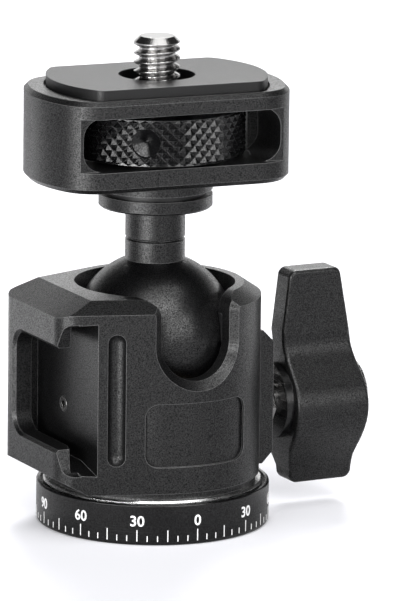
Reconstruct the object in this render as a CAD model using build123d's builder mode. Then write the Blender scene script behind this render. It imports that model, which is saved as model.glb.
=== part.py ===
"""Compact tripod ball head with a side accessory shoe and a thumb-wheel camera screw.

Frame: +Z up, origin on the tripod face at the centre of the base thread. The drop
notch faces -Y, the locking knob stands on +X and the accessory shoe on -X.
Lengths are in millimetres.
"""

import os
from math import asin, atan2, cos, degrees, radians, sin, sqrt, tan

from build123d import *

os.makedirs("parts", exist_ok=True)

# ---------------------------------------------------------------- clearances
thread_clearance = 0.05     # between a screw's crest circle and its hole
running_clearance = 0.05    # round pieces that turn or slide in a bore
ball_clearance = 0.05       # between the ball and each seat
edge_break = 0.25           # small chamfer on turned edges
cut_over = 1.0              # how far a cutter runs past the face that it opens

# ---------------------------------------------------------------- screw sizes
quarter_thread_radius = 6.35 / 2        # 1/4"-20
three_eighths_thread_radius = 9.525 / 2  # 3/8"-16

# ---------------------------------------------------------------- base and panning bearing
base_radius = 16.15
base_height = 5.7
base_foot_chamfer = 0.5
base_rim_width = 0.55
base_recess_depth = 1.0
pan_ring_gap = 0.4          # dark groove between rim and bearing ring
pan_ring_step = 1.0         # width of the ring seen outside the housing's skirt
pan_ring_overlap = 1.4      # how far the ring reaches in under the housing's skirt
pan_ring_height = 1.3
hub_radius = 6.6
hub_shoulder_radius = 9.0
hub_shoulder_gap = 0.05
bush_length = 8.0
bush_slot_width = 1.2
bush_slot_depth = 1.0
hub_roof = 2.4              # metal left above the base thread
cover_thickness = 2.6
cover_step = 0.8            # ledge that the floor plate seats against
spanner_hole_radius = 0.8
pan_washer_thickness = 0.4
pan_nut_height = 1.4
pan_nut_radius = 9.0
pan_nut_slot_width = 1.4
pan_nut_slot_length = 2.4

# ---------------------------------------------------------------- ball and its seats
ball_radius = 11.2
ball_height = 26.4          # centre of the ball
liner_thickness = 0.7
liner_half_angle = 32.0
cup_radius = 11.5
cup_top = 20.2
cup_bottom = 11.2
seat_ring_bottom = 26.6
seat_ring_top = 30.4
disc_spring_inner_radius = 9.5
disc_spring_thickness = 0.4

# ---------------------------------------------------------------- housing
housing_radius = 14.7
housing_bottom = 6.9
housing_top = 33.6
shoe_face_x = 18.65         # how far the shoe block stands out on -X
shoe_corner_radius = 3.2
shoe_corner_y = 6.9
shoe_block_bottom = 9.0
shoe_block_undercut = 29.5  # slope of the block's underside, from level
mouth_radius = 11.1         # opening over the ball, at the top face
rim_chamfer_run = 2.4
rim_chamfer_drop = 1.6
shoe_chamfer_run = 4.9
shoe_chamfer_drop = 2.1
boss_half_width = 7.0
boss_rise = 0.3             # how far the flat boss stands out of the barrel
boss_bottom = 7.9
boss_top = 25.1
boss_slope_rise = 1.7
boss_corner_radius = 1.6

notch_height = 27.45        # centre of the U
notch_half_width = 5.2
notch_bevel = 1.2
notch_lip_radius = 2.2      # rounding where the notch meets the top

panel_half_width = 7.6
panel_bottom = 10.6
panel_top = 19.45
panel_depth = 0.4
panel_corner_radius = 1.8

flute_x = -11.35
flute_radius = 1.25
flute_depth = 1.1
flute_bottom = 10.9
flute_top = 29.3

# ---------------------------------------------------------------- accessory shoe
shoe_height = 20.15         # centre line of the shoe
shoe_slot_width = 18.8
shoe_window_width = 14.2
shoe_window_radius = 2.6
shoe_window_bevel = 0.45
shoe_slot_depth = 2.1
shoe_lip_thickness = 2.75
shoe_mouth_flare = 1.2      # widening of the slot's ends at the mouth, each side
shoe_lead_in = 1.7          # thinning of the lips towards the mouth
shoe_lead_in_length = 5.2
shoe_lip_end_y = -7.65      # where the lips end
shoe_lip_end_run = 1.35     # the lips' ends lean this far towards the mouth
shoe_mouth_radius = 1.6
shoe_slot_end_y = 8.2
shoe_window_end_y = 5.85
shoe_screw_radius = 1.0
shoe_screw_length = 1.6
shoe_screw_socket_radius = 0.55
shoe_screw_height = 17.5

# ---------------------------------------------------------------- locking knob and wedge
lock_height = 14.9          # knob axis
plunger_radius = 3.6
plunger_tip_radius = 1.2
plunger_tip_x = 8.2
plunger_back_gap = 0.9      # room behind the plunger for its travel
lock_shaft_radius = 2.5
bush_shank_length = 1.4
hex_across_flats = 8.0
hex_thickness = 2.05
collar_gap = 1.1            # knob collar to hex, tightened
collar_radius = 5.3
collar_thickness = 1.2
knob_outer_x = 30.6         # end of the knob's hub
knob_hub_half_width = 6.3
knob_upper_z = 18.6         # tip of the long arm above the knob axis
knob_lower_z = 11.7         # tip of the short arm below it
knob_upper_x = 20.1         # near side of the long arm's tip
knob_upper_depth = 7.8      # long arm's tip, along the knob axis
knob_lower_x = 20.3         # near side of the short arm's tip
knob_lower_depth = 9.7
knob_shoulder_height = 6.5  # flat seat against the collar, above and below the axis
knob_shoulder_rise = 3.4    # slope from that seat out to each arm
knob_tip_round = 1.2
knob_edge_round = 0.5       # rounding of the outline, front and back
knob_seat_step = 0.3        # the long arm leans this far back over the collar
knob_face_round = 1.5       # straight part of the outer face below the hub
knob_face_fall = 1.1        # outer face falls back towards the long arm
knob_swell_top = 9.5        # height above the axis where the arm starts to swell
knob_upper_half_width = 2.0
knob_lower_half_width = 2.3
# points of the swell between arm and hub: height from the axis, half width
knob_swell_points = ((5.5, 3.0), (2.4, 5.5), (-4.45, 5.25), (-7.6, 3.4))
cap_radius = 5.0
cap_seat = 0.6
cap_rise = 0.7
cap_edge_radius = 0.6
knob_screw_radius = 1.5
knob_screw_head_radius = 2.75
knob_screw_head_height = 1.6
knob_screw_length = 8.0
knob_hole_spare = 1.0

# ---------------------------------------------------------------- stem
neck_radius = 4.13
neck_groove_depth = 0.25
neck_groove_height = 39.8
flange_bottom = 44.2
flange_thickness = 1.8
flange_radius = 7.85
flange_gap = 0.7
flange_washer_radius = 7.0
stem_screw_radius = 2.5
stem_screw_head_radius = 4.25
stem_screw_head_height = 2.4
stem_screw_depth = 9.0
stem_screw_socket = 2.0
stem_hole_spare = 1.0       # hole below the screw's end

# ---------------------------------------------------------------- platform
boss_disc_height = 1.7
platform_turn = -4.7        # how far the platform stands swivelled about +Z
platform_end_radius = 18.2
platform_half_depth = 11.0
platform_corner_radius = 5.9
platform_height = 12.7
platform_edge_chamfer = 0.65
window_half_width = 14.4
window_height = 7.35
window_bottom = 2.95        # floor thickness under the wheel
window_corner_radius = 2.7
window_end_depth = 9.4      # how deep the mouths run in before the round pocket
shelf_depth = 1.25
shelf_half_width = 15.1
wheel_radius = 12.3
wheel_thickness = 6.3
wheel_edge_chamfer = 0.35
wheel_pocket_gap = 0.6
wheel_washer_thickness = 0.5
wheel_washer_radius = 8.5
wheel_hub_radius = 4.9
wheel_hub_rise = 1.5
tommy_hole_radius = 2.0
tommy_hole_depth = 3.2
tommy_hole_angle = -33.0    # first hole, from -Y towards +X
tommy_hole_count = 3
pad_end_radius = 15.2
pad_half_depth = 9.7
pad_corner_radius = 1.6
pad_thickness = 2.1
pad_rise = 1.35
pad_pocket_gap = 0.3
pad_hole_radius = 5.25
screw_rise = 5.35           # camera screw above the pad
screw_end_chamfer = 0.7
screw_shank_radius = 2.95   # plain part inside the wheel
screw_thread_start = 1.0    # thread begins this far below the pad

# ================================================================ heights worked out from the sizes
pan_ring_top = base_height - base_recess_depth + pan_ring_height
recess_floor = base_height - base_recess_depth
recess_radius = base_radius - base_rim_width
pan_ring_radius = recess_radius - pan_ring_gap
skirt_radius = pan_ring_radius - pan_ring_step
pan_ring_inner_radius = skirt_radius - pan_ring_overlap
cover_bottom = pan_ring_top
cover_top = cover_bottom + cover_thickness
pan_washer_top = cover_top + pan_washer_thickness
hub_top = pan_washer_top + pan_nut_height
bore_radius = cup_radius + 2 * running_clearance
cover_radius = bore_radius + cover_step
liner_inner_radius = ball_radius + ball_clearance
liner_outer_radius = liner_inner_radius + liner_thickness
cup_seat_radius = liner_outer_radius + ball_clearance
seat_radius = ball_radius + ball_clearance
seat_ring_radius = bore_radius - running_clearance
lip_radius = sqrt(seat_radius**2 - (seat_ring_top - ball_height) ** 2)
boss_face_x = housing_radius + boss_rise
shoe_face = -shoe_face_x
slot_floor_x = shoe_face + shoe_lip_thickness + shoe_slot_depth
flange_top = flange_bottom + flange_thickness
disc_bottom = flange_top + flange_gap
platform_bottom = disc_bottom + boss_disc_height
platform_top = platform_bottom + platform_height
pad_top = platform_top + pad_rise
screw_top = pad_top + screw_rise
slot_bottom = platform_bottom + window_bottom
slot_top = slot_bottom + window_height
wheel_bottom = slot_bottom + wheel_washer_thickness
wheel_top = wheel_bottom + wheel_thickness
stem_head_seat = slot_bottom - stem_screw_head_height
plunger_back_x = boss_face_x - bush_shank_length - plunger_back_gap
hex_face_x = boss_face_x + hex_thickness
collar_x = hex_face_x + collar_gap
knob_inner_x = collar_x + collar_thickness


# ================================================================ root: base
with BuildPart() as base_plate:
    with BuildSketch(Plane.XZ):
        with BuildLine():
            Polyline(
                (0, bush_length),
                (three_eighths_thread_radius + thread_clearance, bush_length),
                (three_eighths_thread_radius + thread_clearance, 0),
                (base_radius - base_foot_chamfer, 0),
                (base_radius, base_foot_chamfer),
                (base_radius, base_height - edge_break),
                (base_radius - edge_break, base_height),
                (recess_radius, base_height),
                (recess_radius, recess_floor),
                (hub_shoulder_radius, recess_floor),
                (hub_shoulder_radius, pan_ring_top - hub_shoulder_gap),
                (hub_radius, pan_ring_top - hub_shoulder_gap),
                (hub_radius, hub_top - edge_break),
                (hub_radius - edge_break, hub_top),
                (0, hub_top),
                close=True,
            )
        make_face()
    revolve(axis=Axis.Z)
base_plate.part.label = "base_plate"
export_step(base_plate.part, "parts/base_plate.step")

with BuildPart() as thread_bush:
    with BuildSketch(Plane.XY):
        Circle(three_eighths_thread_radius)
        Circle(quarter_thread_radius + thread_clearance, mode=Mode.SUBTRACT)
    extrude(amount=bush_length)
    with BuildSketch(Plane.XY):
        Rectangle(2 * three_eighths_thread_radius + cut_over, bush_slot_width)
    extrude(amount=bush_slot_depth, mode=Mode.SUBTRACT)
thread_bush.part.label = "thread_bush"
export_step(thread_bush.part, "parts/thread_bush.step")

with BuildPart() as pan_ring:
    with BuildSketch(Plane.XY.offset(recess_floor)):
        Circle(pan_ring_radius)
        Circle(pan_ring_inner_radius, mode=Mode.SUBTRACT)
    extrude(amount=pan_ring_height)
    chamfer(pan_ring.edges().group_by(Axis.Z)[-1].sort_by(SortBy.LENGTH)[-1], edge_break)
pan_ring.part.label = "pan_ring"
export_step(pan_ring.part, "parts/pan_ring.step")

with BuildPart() as pan_washer:
    with BuildSketch(Plane.XY.offset(cover_top)):
        Circle(pan_nut_radius)
        Circle(hub_radius + running_clearance, mode=Mode.SUBTRACT)
    extrude(amount=pan_washer_thickness)
pan_washer.part.label = "pan_washer"
export_step(pan_washer.part, "parts/pan_washer.step")

with BuildPart() as pan_nut:
    with BuildSketch(Plane.XY.offset(pan_washer_top)):
        Circle(pan_nut_radius)
        Circle(hub_radius + thread_clearance, mode=Mode.SUBTRACT)
    extrude(amount=pan_nut_height)
    with BuildSketch(Plane.XY.offset(hub_top)):
        with PolarLocations(pan_nut_radius, 4):
            Rectangle(pan_nut_slot_length, pan_nut_slot_width)
    extrude(amount=-pan_nut_height / 2, mode=Mode.SUBTRACT)
pan_nut.part.label = "pan_nut"
export_step(pan_nut.part, "parts/pan_nut.step")

# ================================================================ housing
flank_angle = asin((housing_radius - shoe_corner_radius)
                   / sqrt((shoe_face_x - shoe_corner_radius)**2 + shoe_corner_y**2)) \
    - atan2(shoe_corner_y, shoe_face_x - shoe_corner_radius)
flank_plane = Plane(
    origin=(-housing_radius * sin(flank_angle), -housing_radius * cos(flank_angle), 0),
    x_dir=(cos(flank_angle), -sin(flank_angle), 0),
    z_dir=(-sin(flank_angle), -cos(flank_angle), 0),
)

flute_surface_y = -(housing_radius + flute_x * sin(flank_angle)) / cos(flank_angle)
flute_foot = (
    flute_x - (flute_radius - flute_depth) * sin(flank_angle),
    flute_surface_y - (flute_radius - flute_depth) * cos(flank_angle),
    0,
)

# a thin curved plug, the shape of the sunk front panel
with BuildPart() as panel_recess:
    with BuildSketch(Plane.XY.offset(panel_bottom)):
        Circle(housing_radius + cut_over)
        Circle(housing_radius - panel_depth, mode=Mode.SUBTRACT)
    extrude(amount=panel_top - panel_bottom)
    with BuildSketch(Plane.XZ):
        with Locations((0, (panel_bottom + panel_top) / 2)):
            RectangleRounded(2 * panel_half_width, panel_top - panel_bottom, panel_corner_radius)
    extrude(amount=housing_radius + cut_over, mode=Mode.INTERSECT)

# a round-ended rod that leaves the flute down the flank
with BuildPart() as flank_flute:
    with BuildSketch(Plane(flute_foot, x_dir=(1, 0, 0), z_dir=(0, -1, 0))):
        with Locations((0, (flute_bottom + flute_top) / 2)):
            SlotOverall(flute_top - flute_bottom, 2 * flute_radius, rotation=90)
        with Locations((-flute_radius, (flute_bottom + flute_top) / 2)):
            Rectangle(2 * flute_radius, flute_top - flute_bottom, mode=Mode.SUBTRACT)
    revolve(axis=Axis(flute_foot, (0, 0, 1)))

# front view of the drop notch: a U whose lips roll outward at the top face
with BuildSketch() as notch_outline:
    with BuildLine():
        lip_start = (notch_half_width + notch_lip_radius, housing_top)
        lip_end = (notch_half_width, housing_top - notch_lip_radius)
        Polyline((0, housing_top + cut_over),
                 (notch_half_width + notch_lip_radius, housing_top + cut_over), lip_start)
        RadiusArc(lip_start, lip_end, -notch_lip_radius)
        Line(lip_end, (notch_half_width, notch_height))
        RadiusArc((notch_half_width, notch_height), (0, notch_height - notch_half_width),
                  notch_half_width)
        mirror(about=Plane.YZ)
    make_face()

# side view of the shoe, with x towards the mouth and y up
shoe_plane = Plane(origin=(0, 0, 0), x_dir=(0, -1, 0), z_dir=(-1, 0, 0))
slot_mouth_y = (housing_radius + slot_floor_x * sin(flank_angle)) / cos(flank_angle)

with BuildSketch() as shoe_window:
    window_length = shoe_window_end_y + housing_radius + shoe_window_radius
    with Locations((window_length / 2 - shoe_window_end_y, shoe_height)):
        RectangleRounded(window_length, shoe_window_width, shoe_window_radius)

with BuildSketch() as shoe_mouth:
    lip_half = shoe_window_width / 2
    mouth_half = shoe_slot_width / 2 + shoe_mouth_flare
    with Locations((0, shoe_height)):
        Polygon(
            (-shoe_lip_end_y, lip_half),
            (-shoe_lip_end_y + shoe_lip_end_run, mouth_half),
            (housing_radius, mouth_half),
            (housing_radius, -mouth_half),
            (-shoe_lip_end_y + shoe_lip_end_run, -mouth_half),
            (-shoe_lip_end_y, -lip_half),
            align=None,
        )
    fillet(shoe_mouth.vertices().sort_by(Axis.X)[2:4], shoe_mouth_radius)

# The plan is one round barrel whose sides run off tangentially to the shoe block.
with BuildPart() as housing:
    with BuildSketch(Plane.XY.offset(housing_bottom)) as plan:
        Circle(housing_radius)
        with Locations((shoe_face + shoe_corner_radius, shoe_corner_y),
                       (shoe_face + shoe_corner_radius, -shoe_corner_y)):
            Circle(shoe_corner_radius)
        make_hull()
    extrude(amount=housing_top - housing_bottom)
    # turned chamfer round the top and the broad slope down to the shoe face
    chamfer(housing.edges().group_by(Axis.Z)[-1], length=rim_chamfer_drop, length2=rim_chamfer_run)
    shoulder_slope = shoe_chamfer_drop / shoe_chamfer_run
    with BuildSketch(Plane.XZ):
        with BuildLine():
            Polyline(
                (shoe_face - cut_over, housing_top - shoe_chamfer_drop - cut_over * shoulder_slope),
                (shoe_face + shoe_chamfer_run, housing_top),
                (shoe_face - cut_over, housing_top),
                close=True,
            )
        make_face()
    extrude(amount=housing_radius + cut_over, both=True, mode=Mode.SUBTRACT)
    # the block's underside slopes up and outward, clear of the base
    undercut_slope = tan(radians(shoe_block_undercut))
    undercut_run = (shoe_block_bottom - housing_bottom) / undercut_slope
    with BuildSketch(Plane.XZ):
        with BuildLine():
            Polyline(
                (shoe_face - cut_over, shoe_block_bottom + cut_over * undercut_slope),
                (shoe_face + undercut_run, housing_bottom),
                (shoe_face - cut_over, housing_bottom),
                close=True,
            )
        make_face()
    extrude(amount=housing_radius + cut_over, both=True, mode=Mode.SUBTRACT)
    # knob boss, a flat pad on the +X side
    with BuildSketch(Plane.XZ):
        with BuildLine():
            Polyline(
                (0, boss_bottom),
                (boss_face_x - boss_corner_radius, boss_bottom),
                (boss_face_x, boss_bottom + boss_corner_radius),
                (boss_face_x, boss_top),
                (boss_face_x - boss_slope_rise, boss_top + boss_slope_rise),
                (0, boss_top + boss_slope_rise),
                close=True,
            )
        make_face()
    extrude(amount=boss_half_width, both=True)
    # bearing skirt
    with BuildSketch(Plane.XY.offset(cover_bottom)):
        Circle(skirt_radius)
    extrude(amount=housing_bottom - cover_bottom)
    # bore for floor plate, cup and seat ring, then the mouth over the ball
    with BuildSketch(Plane.XZ):
        with BuildLine():
            Polyline(
                (0, cover_bottom),
                (cover_radius, cover_bottom),
                (cover_radius, cover_top),
                (bore_radius, cover_top),
                (bore_radius, seat_ring_top),
                (lip_radius, seat_ring_top),
                (mouth_radius, housing_top),
                (0, housing_top),
                close=True,
            )
        make_face()
    revolve(axis=Axis.Z, mode=Mode.SUBTRACT)
    # drop notch that the neck lies down into, and the bevel round its outer edge
    with BuildSketch(Plane.XZ):
        add(notch_outline.sketch)
    extrude(amount=housing_radius + cut_over, mode=Mode.SUBTRACT)
    notch_rim = (
        housing.edges()
        .filter_by_position(Axis.X, -notch_half_width - edge_break, notch_half_width + edge_break)
        .filter_by_position(Axis.Y, -housing_radius, -(bore_radius + housing_radius) / 2)
        .filter_by_position(Axis.Z, notch_height - notch_half_width - edge_break,
                            housing_top - rim_chamfer_drop)
    )
    chamfer(notch_rim, notch_bevel)
    # boss bore for the plunger and the threaded bush
    with Locations(Plane((0, 0, lock_height), z_dir=(1, 0, 0))):
        with Locations((0, 0, boss_face_x)):
            Hole(plunger_radius + running_clearance, depth=boss_face_x)
    # accessory shoe: the slot for the foot, and its lead-in at the mouth
    slot_middle_x = slot_floor_x - shoe_slot_depth / 2
    with BuildSketch(Plane.XZ.offset(-shoe_slot_end_y)):
        with Locations((slot_middle_x, shoe_height)):
            Rectangle(shoe_slot_depth, shoe_slot_width)
    extrude(amount=shoe_slot_end_y + housing_radius, mode=Mode.SUBTRACT)
    with BuildSketch(Plane.XZ.offset(slot_mouth_y - shoe_lead_in_length)):
        with Locations((slot_middle_x, shoe_height)):
            Rectangle(shoe_slot_depth, shoe_slot_width)
    with BuildSketch(Plane.XZ.offset(slot_mouth_y)):
        with Locations((slot_middle_x - shoe_lead_in / 2, shoe_height)):
            Rectangle(shoe_slot_depth + shoe_lead_in, shoe_slot_width + 2 * shoe_mouth_flare)
    loft(mode=Mode.SUBTRACT)
    # the window between the lips, its bevelled edge, and the lips cut back at the mouth
    with BuildSketch(shoe_plane.offset(shoe_face_x - shoe_lip_thickness)):
        add(shoe_window.sketch)
    extrude(amount=shoe_lip_thickness + cut_over, mode=Mode.SUBTRACT)
    with BuildSketch(shoe_plane.offset(shoe_face_x - shoe_window_bevel)):
        add(shoe_window.sketch)
    extrude(amount=shoe_window_bevel + cut_over, taper=-45, mode=Mode.SUBTRACT)
    with BuildSketch(shoe_plane.offset(shoe_face_x - shoe_lip_thickness)):
        add(shoe_mouth.sketch)
    extrude(amount=shoe_lip_thickness + cut_over, mode=Mode.SUBTRACT)
    with Locations(Plane((slot_floor_x, 0, shoe_screw_height), z_dir=(-1, 0, 0))):
        Hole(shoe_screw_radius + thread_clearance, depth=shoe_screw_length)
    add(flank_flute.part, mode=Mode.SUBTRACT)
    add(panel_recess.part, mode=Mode.SUBTRACT)
housing.part.label = "housing"
export_step(housing.part, "parts/housing.step")

with BuildPart() as floor_plate:
    with BuildSketch(Plane.XY.offset(cover_bottom)):
        Circle(cover_radius - thread_clearance)
        Circle(hub_radius + running_clearance, mode=Mode.SUBTRACT)
    extrude(amount=cover_thickness)
    with BuildSketch(Plane.XY.offset(cover_bottom)):
        with PolarLocations((cover_radius + hub_shoulder_radius) / 2, 2):
            Circle(spanner_hole_radius)
    extrude(amount=cover_thickness / 2, mode=Mode.SUBTRACT)
floor_plate.part.label = "floor_plate"
export_step(floor_plate.part, "parts/floor_plate.step")

with BuildPart() as seat_ring:
    with BuildSketch(Plane.XZ):
        with BuildLine():
            Polyline(
                (0, seat_ring_bottom),
                (seat_ring_radius, seat_ring_bottom),
                (seat_ring_radius, seat_ring_top),
                (0, seat_ring_top),
                close=True,
            )
        make_face()
    revolve(axis=Axis.Z)
    with Locations((0, 0, ball_height)):
        Sphere(seat_radius, mode=Mode.SUBTRACT)
    with BuildSketch(Plane.XZ):
        with Locations((0, notch_height)):
            Rectangle(2 * notch_half_width, 2 * (seat_ring_top - seat_ring_bottom) + 2 * notch_half_width)
    extrude(amount=housing_radius, mode=Mode.SUBTRACT)
seat_ring.part.label = "seat_ring"
export_step(seat_ring.part, "parts/seat_ring.step")

# two disc springs back to back, as one ring
spring_middle = (cover_top + cup_bottom) / 2
with BuildPart() as cup_spring:
    with BuildSketch(Plane.XZ):
        with BuildLine():
            Polyline(
                (cup_radius - disc_spring_thickness, cover_top),
                (cup_radius, cover_top),
                (cup_radius, cover_top + disc_spring_thickness),
                (disc_spring_inner_radius + disc_spring_thickness, spring_middle),
                (cup_radius, cup_bottom - disc_spring_thickness),
                (cup_radius, cup_bottom),
                (cup_radius - disc_spring_thickness, cup_bottom),
                (disc_spring_inner_radius, spring_middle + disc_spring_thickness / 2),
                (disc_spring_inner_radius, spring_middle - disc_spring_thickness / 2),
                close=True,
            )
        make_face()
    revolve(axis=Axis.Z)
cup_spring.part.label = "cup_spring"
export_step(cup_spring.part, "parts/cup_spring.step")

with BuildPart() as shoe_screw:
    with BuildSketch(Plane.YZ.offset(slot_floor_x)):
        with Locations((0, shoe_screw_height)):
            Circle(shoe_screw_radius)
    extrude(amount=shoe_screw_length)
    with BuildSketch(Plane.YZ.offset(slot_floor_x)):
        with Locations((0, shoe_screw_height)):
            RegularPolygon(shoe_screw_socket_radius, 6)
    extrude(amount=shoe_screw_length / 2, mode=Mode.SUBTRACT)
shoe_screw.part.label = "shoe_screw"
export_step(shoe_screw.part, "parts/shoe_screw.step")

# ================================================================ lower cup, liner and ball stem
with BuildPart() as ball_cup:
    with BuildSketch(Plane.XZ):
        Polygon(
            (0, cup_bottom),
            (cup_radius - edge_break, cup_bottom),
            (cup_radius, cup_bottom + edge_break),
            (cup_radius, cup_top),
            (0, cup_top),
            align=None,
        )
    revolve(axis=Axis.Z)
    with Locations((0, 0, ball_height)):
        Sphere(cup_seat_radius, mode=Mode.SUBTRACT)
    # ramp that the plunger's cone lifts, open below
    ramp_start_x = plunger_tip_x - running_clearance
    ramp_end_x = cup_radius + cut_over
    with BuildSketch(Plane.XZ):
        with BuildLine():
            Polyline(
                (ramp_start_x, lock_height),
                (ramp_start_x, lock_height + plunger_tip_radius),
                (ramp_end_x, lock_height + plunger_tip_radius + ramp_end_x - ramp_start_x),
                (ramp_end_x, lock_height),
                close=True,
            )
        make_face()
    revolve(axis=Axis((0, 0, lock_height), (1, 0, 0)), mode=Mode.SUBTRACT)
    with BuildSketch(Plane.XZ):
        with Locations(((ramp_start_x + ramp_end_x) / 2,
                        (cup_bottom + lock_height - cut_over) / 2)):
            Rectangle(ramp_end_x - ramp_start_x, lock_height - cup_bottom + cut_over)
    extrude(amount=plunger_radius + 2 * running_clearance, both=True, mode=Mode.SUBTRACT)
ball_cup.part.label = "ball_cup"
export_step(ball_cup.part, "parts/ball_cup.step")

with BuildPart() as ball_liner:
    with BuildSketch(Plane.XZ):
        with BuildLine():
            liner_outer_arc = CenterArc((0, ball_height), liner_outer_radius, -90, liner_half_angle)
            liner_inner_arc = CenterArc((0, ball_height), liner_inner_radius, -90, liner_half_angle)
            Line(liner_outer_arc @ 0, liner_inner_arc @ 0)
            Line(liner_outer_arc @ 1, liner_inner_arc @ 1)
        make_face()
    revolve(axis=Axis.Z)
ball_liner.part.label = "ball_liner"
export_step(ball_liner.part, "parts/ball_liner.step")

with BuildPart() as ball_stem:
    with BuildSketch(Plane.XZ):
        with BuildLine():
            ball_arc = CenterArc((0, ball_height), ball_radius, -90,
                                 180 - degrees(asin(neck_radius / ball_radius)))
            Polyline(
                ball_arc @ 1,
                (neck_radius, neck_groove_height - neck_groove_depth),
                (neck_radius - neck_groove_depth, neck_groove_height),
                (neck_radius, neck_groove_height + neck_groove_depth),
                (neck_radius, flange_bottom),
                (flange_radius - edge_break, flange_bottom),
                (flange_radius, flange_bottom + edge_break),
                (flange_radius, flange_top),
                (0, flange_top),
                ball_arc @ 0,
            )
        make_face()
    revolve(axis=Axis.Z)
    with Locations((0, 0, flange_top)):
        Hole(stem_screw_radius + thread_clearance, depth=stem_screw_depth + stem_hole_spare)
ball_stem.part.label = "ball_stem"
export_step(ball_stem.part, "parts/ball_stem.step")

with BuildPart() as flange_washer:
    with BuildSketch(Plane.XY.offset(flange_top)):
        Circle(flange_washer_radius)
        Circle(stem_screw_radius + running_clearance, mode=Mode.SUBTRACT)
    extrude(amount=flange_gap)
flange_washer.part.label = "flange_washer"
export_step(flange_washer.part, "parts/flange_washer.step")

with BuildPart() as stem_screw:
    with BuildSketch(Plane.XY.offset(flange_top - stem_screw_depth)):
        Circle(stem_screw_radius)
    extrude(amount=stem_head_seat - flange_top + stem_screw_depth)
    with BuildSketch(Plane.XY.offset(stem_head_seat)):
        Circle(stem_screw_head_radius)
    extrude(amount=stem_screw_head_height - edge_break)
    with BuildSketch(Plane.XY.offset(slot_bottom - edge_break)):
        RegularPolygon(stem_screw_radius, 6)
    extrude(amount=-stem_screw_socket, mode=Mode.SUBTRACT)
stem_screw.part.label = "stem_screw"
export_step(stem_screw.part, "parts/stem_screw.step")

# ================================================================ platform
platform_plane = Plane(origin=(0, 0, 0), z_dir=(0, 0, 1),
                       x_dir=(cos(radians(platform_turn)), sin(radians(platform_turn)), 0))

with BuildPart() as platform_body:
    with BuildSketch(platform_plane.offset(platform_bottom)) as platform_plan:
        Circle(platform_end_radius)
        Rectangle(2 * platform_end_radius, 2 * platform_half_depth, mode=Mode.INTERSECT)
        fillet(platform_plan.vertices(), platform_corner_radius)
    extrude(amount=platform_height)
    chamfer(platform_body.edges().group_by(Axis.Z)[0], platform_edge_chamfer)
    chamfer(platform_body.edges().group_by(Axis.Z)[-1], platform_edge_chamfer)
    with BuildSketch(Plane.XY.offset(disc_bottom)):
        Circle(flange_radius)
    extrude(amount=boss_disc_height)
    # pocket for the wheel, with a straight mouth at the front and at the back
    with BuildSketch(Plane.XY.offset(slot_bottom)):
        Circle(wheel_radius + wheel_pocket_gap)
    extrude(amount=window_height, mode=Mode.SUBTRACT)
    for side in (-1, 1):
        outward = platform_plane.y_dir * side
        mouth_middle = Vector(0, 0, slot_bottom + window_height / 2)
        mouth_plane = Plane(outward * platform_half_depth + mouth_middle,
                            x_dir=platform_plane.x_dir * -side, z_dir=outward)
        with BuildSketch(mouth_plane):
            RectangleRounded(2 * window_half_width, window_height, window_corner_radius)
        extrude(amount=-window_end_depth, mode=Mode.SUBTRACT)
        with BuildSketch(mouth_plane):
            Rectangle(2 * shelf_half_width, window_height)
        extrude(amount=-shelf_depth, mode=Mode.SUBTRACT)
    # shallow pocket for the pad
    with BuildSketch(platform_plane.offset(pad_top - pad_thickness)) as pad_pocket_plan:
        Circle(pad_end_radius + pad_pocket_gap)
        Rectangle(2 * platform_end_radius, 2 * (pad_half_depth + pad_pocket_gap), mode=Mode.INTERSECT)
        fillet(pad_pocket_plan.vertices(), pad_corner_radius)
    extrude(amount=pad_thickness, mode=Mode.SUBTRACT)
    with Locations((0, 0, platform_top)):
        Hole(wheel_hub_radius + running_clearance, depth=platform_top - slot_top + cut_over)
    with Locations((0, 0, slot_bottom)):
        CounterBoreHole(stem_screw_radius + running_clearance,
                        stem_screw_head_radius + 2 * running_clearance,
                        stem_screw_head_height, depth=slot_bottom - disc_bottom + cut_over)
platform_body.part.label = "platform_body"
export_step(platform_body.part, "parts/platform_body.step")

with BuildPart() as top_pad:
    with BuildSketch(platform_plane.offset(pad_top - pad_thickness)) as pad_plan:
        Circle(pad_end_radius)
        Rectangle(2 * pad_end_radius, 2 * pad_half_depth, mode=Mode.INTERSECT)
        fillet(pad_plan.vertices(), pad_corner_radius)
        Circle(pad_hole_radius, mode=Mode.SUBTRACT)
    extrude(amount=pad_thickness)
top_pad.part.label = "top_pad"
export_step(top_pad.part, "parts/top_pad.step")

with BuildPart() as wheel_washer:
    with BuildSketch(Plane.XY.offset(slot_bottom)):
        Circle(wheel_washer_radius)
        Circle(stem_screw_head_radius + 2 * running_clearance, mode=Mode.SUBTRACT)
    extrude(amount=wheel_washer_thickness)
wheel_washer.part.label = "wheel_washer"
export_step(wheel_washer.part, "parts/wheel_washer.step")

with BuildPart() as thumb_wheel:
    with BuildSketch(Plane.XY.offset(wheel_bottom)):
        Circle(wheel_radius)
    extrude(amount=wheel_thickness)
    chamfer(thumb_wheel.edges(), wheel_edge_chamfer)
    with BuildSketch(Plane.XY.offset(wheel_top)):
        Circle(wheel_hub_radius)
    extrude(amount=wheel_hub_rise)
    for index in range(tommy_hole_count):
        hole_angle = radians(tommy_hole_angle + 360 * index / tommy_hole_count)
        hole_plane = Plane((wheel_radius * sin(hole_angle), -wheel_radius * cos(hole_angle),
                            wheel_bottom + wheel_thickness / 2),
                           z_dir=(sin(hole_angle), -cos(hole_angle), 0))
        with Locations(hole_plane):
            Hole(tommy_hole_radius, depth=tommy_hole_depth)
    with Locations((0, 0, wheel_top + wheel_hub_rise)):
        Hole(screw_shank_radius, depth=wheel_thickness + wheel_hub_rise)
thumb_wheel.part.label = "thumb_wheel"
export_step(thumb_wheel.part, "parts/thumb_wheel.step")

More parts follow.
